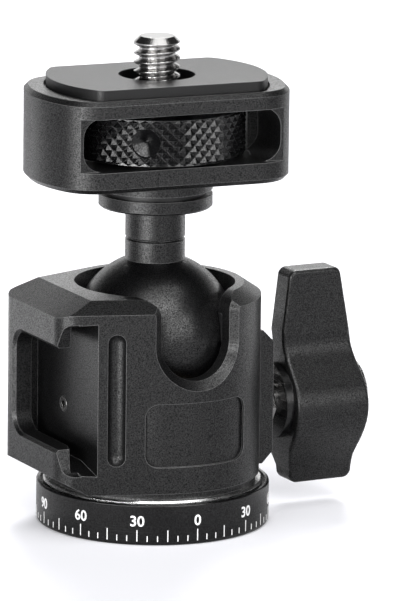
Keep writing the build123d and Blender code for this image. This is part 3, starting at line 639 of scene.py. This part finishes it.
wheel_middle = Vector((0, 0, (WHEEL_BOTTOM + WHEEL_TOP) / 2 * MM))
drills = []
for index in range(PIN_HOLES):
    angle = radians(FIRST_HOLE + 360 // PIN_HOLES * index)
    outward = Vector((cos(angle), sin(angle), 0))
    drill = turned("drill", DRILL, DRILL_COLUMNS)
    drill.matrix_world = (
        Matrix.Translation(outward * WHEEL_RADIUS * MM + wheel_middle)
        @ outward.to_track_quat("Z", "Y").to_matrix().to_4x4()
    )
    drills.append(drill)
drills.append(turned("drill", (
    (SHANK_RADIUS, WHEEL_BOTTOM - OVERSHOOT), (SHANK_RADIUS, HUB_TOP + OVERSHOOT),
), THREAD_COLUMNS))
drilled(wheel, drills)
piece(wheel, "wheel", "wheel_black", "thumb_wheel")

# %% [markdown]
# ## Base with its angle scale
#
# The base is turned from bar, anodised, and then marked: a tick each 5 degrees, a long
# one each 15, and a number each 30, counted both ways from zero. A picture on the rim could
# hold the marks, but it would blur close up. Here they are thin white plates let into the
# rim, so they stay crisp at any size. The plates stand a hair proud, so the rim is turned
# that much smaller.

# %% Scale recipe
scale_white, tree, shader = material("scale_white", (0.78, 0.78, 0.78), 0.0, 0.5)
feed(tree, shader, "Roughness", spread(tree, noise(tree, 0.3 * MM), 0.45, 0.6))

ticks, given = recipe("ticks", (
    "Count", "Long each", "Radius", "Foot", "Short", "Long", "Width", "Thickness", "Turn",
))
points = node(
    ticks, "GeometryNodeMeshLine", {"mode": "OFFSET"},
    {"Count": given["Count"], "Offset": (0, 0, 0)},
)
index = node(ticks, "GeometryNodeInputIndex")
angle = index / given["Count"] * (2 * pi) + given["Turn"]
is_long = (index % given["Long each"]) < 0.5
length = is_long * (given["Long"] - given["Short"]) + given["Short"]
mark = node(ticks, "GeometryNodeMeshCube", inputs={"Size": (1, 1, 1)})
mark = node(
    ticks, "GeometryNodeTransform", inputs={"Geometry": mark, "Translation": (-0.5, 0, 0.5)}
)
turned_by = node(ticks, "ShaderNodeCombineXYZ", inputs={"Z": angle})
scaled_by = node(
    ticks, "ShaderNodeCombineXYZ",
    inputs={"X": given["Thickness"], "Y": given["Width"], "Z": length},
)
marks = node(
    ticks, "GeometryNodeInstanceOnPoints",
    inputs={"Points": points, "Instance": mark, "Rotation": turned_by, "Scale": scaled_by},
)
cosine = node(ticks, "ShaderNodeMath", {"operation": "COSINE"}, {0: angle})
sine = node(ticks, "ShaderNodeMath", {"operation": "SINE"}, {0: angle})
outward = node(
    ticks, "ShaderNodeCombineXYZ",
    inputs={"X": cosine * given["Radius"], "Y": sine * given["Radius"], "Z": given["Foot"]},
)
marks = node(
    ticks, "GeometryNodeTranslateInstances",
    inputs={"Instances": marks, "Translation": outward, "Local Space": False},
)
serve(ticks, marks, given["Material"])

# %% Turn the base
BASE_RADIUS, BASE_HEIGHT = 16.15, 5.7
MARK_PROUD = 0.03
BUSH_RADIUS, BUSH_DEPTH = 4.8125, 8.0
SEAT_RADIUS, SEAT_HEIGHT = 15.6, 4.7
SHELF_RADIUS, SHELF_HEIGHT = 9.0, 5.95
POST_RADIUS, POST_HEIGHT, POST_CHAMFER = 6.6, 10.4, 0.25
BASE_COLUMNS = 192

side = BASE_RADIUS - MARK_PROUD
blank = turned("turned_base", (
    (BUSH_RADIUS, BUSH_DEPTH),
    (BUSH_RADIUS, 0.0),
    (side - 0.5, 0.0),
    (side - 0.15, 0.15),
    (side, 0.5),
    (side, BASE_HEIGHT - 0.2),
    (side - 0.06, BASE_HEIGHT - 0.06),
    (side - 0.2, BASE_HEIGHT),
    (SEAT_RADIUS, BASE_HEIGHT),
    (SEAT_RADIUS, SEAT_HEIGHT),
    (SHELF_RADIUS, SEAT_HEIGHT),
    (SHELF_RADIUS, SHELF_HEIGHT),
    (POST_RADIUS, SHELF_HEIGHT),
    (POST_RADIUS, POST_HEIGHT - POST_CHAMFER),
    (POST_RADIUS - POST_CHAMFER, POST_HEIGHT),
), BASE_COLUMNS)
blank.data.materials.append(ring_black)
piece(blank, "base", "base_black", "base_plate")

# %% Mark the ticks
SCALE_TURN = -93.8
scale = bake(new_object("angle_ticks", bpy.data.meshes.new("angle_ticks")), ticks, {
    "Count": 72.0,
    "Long each": 3.0,
    "Radius": BASE_RADIUS * MM,
    "Foot": 0.6 * MM,
    "Short": 0.8 * MM,
    "Long": 1.6 * MM,
    "Width": 0.14 * MM,
    "Thickness": 0.12 * MM,
    "Turn": radians(SCALE_TURN),
    "Material": scale_white,
})
piece(scale, "base", "base_black")

# %% Mark the numbers
NUMBERS = ("0", "30", "60", "90", "60", "30") * 2
NUMBER_HEIGHT = 1.45 * MM
NUMBER_FOOT = 2.75 * MM
FONT_CAP_SHARE = 0.7
PLATE_HALF = 0.05 * MM
STROKE_GROWTH = 0.035 * MM


def number(text, height, angle, foot):
    """A number wrapped round the base's rim, as one closed mesh."""
    curve = bpy.data.curves.new("number", "FONT")
    curve.body = text
    curve.size = height / FONT_CAP_SHARE
    curve.align_x = "CENTER"
    curve.extrude = PLATE_HALF
    curve.offset = STROKE_GROWTH
    curve.resolution_u = 3
    holder = new_object("number", curve)
    evaluated = holder.evaluated_get(bpy.context.evaluated_depsgraph_get())
    mesh = bpy.data.meshes.new_from_object(evaluated)
    bpy.data.objects.remove(holder)
    for vertex in mesh.vertices:
        across, up_there, out = vertex.co
        around = angle + across / (BASE_RADIUS * MM)
        reach = BASE_RADIUS * MM - PLATE_HALF + out
        vertex.co = (reach * cos(around), reach * sin(around), foot + up_there)
    return mesh


numbers = bmesh.new()
for index, text in enumerate(NUMBERS):
    around = radians(SCALE_TURN + 360 // len(NUMBERS) * index)
    numbers.from_mesh(number(text, NUMBER_HEIGHT, around, NUMBER_FOOT))
numbers_mesh = bpy.data.meshes.new("angle_numbers")
numbers.to_mesh(numbers_mesh)
numbers.free()
numbers_mesh.materials.append(scale_white)
piece(new_object("angle_numbers", numbers_mesh), "base", "base_black")
print("angle_numbers has", len(numbers_mesh.polygons), "faces")

# %% [markdown]
# ## Floor
#
# The head stands on a white table that fades to pure white. Two colours in it depend on the
# kind of ray, which the Light Path node tells. For the camera the table glows a little, so
# that it reaches white. In a mirror it is half as bright as it looks, which keeps black metal
# black. A real table does neither.

# %% Floor
TABLE_WHITE = (0.86, 0.86, 0.9)
TABLE_MIRRORED = (0.43, 0.43, 0.44)
TABLE_GLOW = 0.1
TABLE_HALF = 3.0


def by_ray(tree, ray, others, these):
    """One colour for the named kind of ray and another for the rest."""
    return blend(tree, node(tree, "ShaderNodeLightPath", output=ray), others, these)


floor_white, tree, shader = material("floor_white", TABLE_WHITE, 0.0, 0.9, specular=0.0)
feed(tree, shader, "Base Color", by_ray(tree, "Is Glossy Ray", TABLE_WHITE, TABLE_MIRRORED))
feed(tree, shader, "Emission Color", by_ray(tree, "Is Camera Ray", (0, 0, 0), (TABLE_GLOW,) * 3))
shader.inputs["Emission Strength"].default_value = 1.0

corners = [(x * TABLE_HALF, y * TABLE_HALF, 0) for x, y in ((-1, -1), (1, -1), (1, 1), (-1, 1))]
floor_mesh = bpy.data.meshes.new("floor")
floor_mesh.from_pydata(corners, [], [(0, 1, 2, 3)])
floor_mesh.materials.append(floor_white)
floor = new_object("floor", floor_mesh)
print("floor in m:", 2 * TABLE_HALF)

# %% [markdown]
# ## Light
#
# Black anodised metal shows little of its own colour. What is seen on it is the studio round
# it, so each lamp is a panel that some faces mirror. A long low strip on the left lights the
# neck, the ball and the notch bevel. Softer panels in front and above fill the rest, and two
# behind give level faces their shine at a flat angle. Upright faces are seen from slightly
# above, so they mirror the table: three strips lie flat on it, outside the picture. The room
# is nearly dark, and only the camera sees it as white.

# %% World and lamps
ROOM_LIGHT = 0.02
PANEL_DISTANCE = 0.95
STRIP_DISTANCE, STRIP_HEIGHT = 0.24, 1.5 * MM

world = bpy.data.worlds.new("studio")
bpy.context.scene.world = world
world.use_nodes = True
room = by_ray(world.node_tree, "Is Camera Ray", (ROOM_LIGHT,) * 3, (1, 1, 1))
feed(world.node_tree, world.node_tree.nodes["Background"], "Color", room)


def panel(name, azimuth, elevation, distance, width, height, radiance):
    """A flat lamp that faces the head. Azimuth counts from the front towards the knob."""
    lamp = bpy.data.lights.new(name, "AREA")
    lamp.shape = "RECTANGLE"
    lamp.size = width
    lamp.size_y = height
    lamp.energy = radiance * pi * width * height
    holder = new_object(name, lamp)
    around, above_level = radians(azimuth), radians(elevation)
    toward = Vector((
        sin(around) * cos(above_level), -cos(around) * cos(above_level), sin(above_level)
    ))
    holder.location = middle + toward * distance
    holder.rotation_euler = toward.to_track_quat("Z", "Y").to_euler()
    return holder


for name, azimuth, elevation, width, height, radiance in (
    ("key_strip", -60, 9, 0.99, 0.2, 15.0),
    ("front_panel", 10, 16, 0.66, 0.5, 3.5),
    ("front_high", -15, 47, 0.84, 0.4, 5.0),
    ("top_panel", -10, 74, 1.0, 0.42, 2.2),
    ("right_strip", 110, 9, 0.66, 0.2, 1.6),
    ("back_low", 160, 12, 1.2, 0.3, 1.15),
    ("back_high", 150, 47, 0.42, 0.4, 16.0),
):
    panel(name, azimuth, elevation, PANEL_DISTANCE, width, height, radiance)
for azimuth, radiance in ((-60, 4.5), (-155, 1.0), (105, 0.8)):
    strip = panel("table_pad", azimuth, 0, STRIP_DISTANCE, 0.1, 0.32, radiance)
    strip.location.z = STRIP_HEIGHT
    strip.rotation_euler = (pi, 0, radians(azimuth))
bpy.context.scene.view_settings.view_transform = "Standard"
print("lamps:", len(bpy.data.lights))
